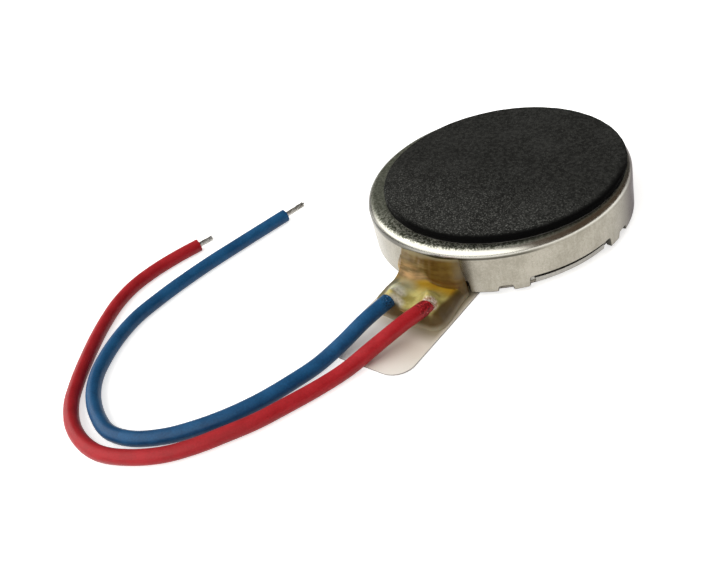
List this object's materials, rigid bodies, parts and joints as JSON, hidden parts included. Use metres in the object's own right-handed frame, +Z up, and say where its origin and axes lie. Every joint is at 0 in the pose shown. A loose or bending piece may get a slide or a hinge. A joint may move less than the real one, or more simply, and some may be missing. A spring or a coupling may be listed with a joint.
{
  "type": "vibration coin motor",
  "caption": "Flat coin vibration motor: drawn steel can with a foam pad, off-balance rotor inside, glued terminal tab on a peel-off liner, short insulated leads with tinned ends.",
  "frame": {"origin": "on the motor's axis, at the underside of the release liner that it rests on", "axes": "+Z up along the rotor's shaft towards the foam pad, -Y along the terminal tab"},
  "size_m": [0.0173, 0.0217, 0.0023],
  "materials": {
    "nickel_steel": "bright nickel-plated deep-drawn steel",
    "bracket_steel": "plain nickel-plated pressed steel",
    "shaft_steel": "ground and polished steel",
    "magnet_plating": "nickel-plated sintered magnet",
    "tungsten": "dull sintered tungsten alloy",
    "gold_contact": "gold-plated copper",
    "copper": "bare copper pad",
    "coil_copper": "enamelled copper wire, wound flat",
    "brush_metal": "precious-metal leaf spring",
    "solder": "set tin solder",
    "tinned_copper": "tinned copper strands",
    "polyimide": "amber polyimide flexible circuit",
    "circuit_board": "thin glass-fibre board",
    "resin": "black moulding resin",
    "bush_plastic": "natural bearing plastic",
    "washer_film": "thin sliding film",
    "foam": "dark grey fine-celled foam with a matt skin",
    "foam_adhesive": "grimy edge of the adhesive that holds the foam",
    "adhesive_film": "pressure-sensitive adhesive film",
    "liner_film": "milky translucent release film",
    "amber_glue": "cured amber sealing glue",
    "clear_glue": "cured clear glue with a milky haze",
    "red_insulation": "soft red lead insulation",
    "blue_insulation": "soft blue lead insulation"
  },
  "bodies": {
    "motor": {"case_can": "nickel_steel", "foam_pad": "foam", "foam_adhesive": "foam_adhesive", "release_liner": "liner_film", "mounting_tape": "adhesive_film", "bracket_plate": "bracket_steel", "shaft": "shaft_steel", "ring_magnet": "magnet_plating", "flex_circuit": "polyimide", "brush_left": "brush_metal", "brush_right": "brush_metal", "brush_solder_left": "solder", "brush_solder_right": "solder", "washer_lower": "washer_film", "washer_upper": "washer_film", "wall_glue": "amber_glue", "joint_glue": "clear_glue", "terminal_pad_red": "copper", "terminal_pad_blue": "copper", "lead_solder_red": "solder", "lead_solder_blue": "solder", "lead_core_red": "tinned_copper", "lead_core_blue": "tinned_copper", "lead_red": "red_insulation", "lead_blue": "blue_insulation", "lead_tip_red": "tinned_copper", "lead_tip_blue": "tinned_copper"},
    "rotor": {"bearing_bush": "bush_plastic", "rotor_board": "circuit_board", "commutator_segment_1": "gold_contact", "commutator_segment_2": "gold_contact", "commutator_segment_3": "gold_contact", "commutator_segment_4": "gold_contact", "commutator_segment_5": "gold_contact", "commutator_segment_6": "gold_contact", "coil_left": "coil_copper", "coil_right": "coil_copper", "counterweight": "tungsten", "rotor_resin": "resin"}
  },
  "joints": [
    {"name": "rotor_spin", "type": "hinge", "parent": "motor", "child": "rotor", "pos_m": [0, 0, 0.0012], "axis": [0, 0, 1], "continuous": true}
  ]
}
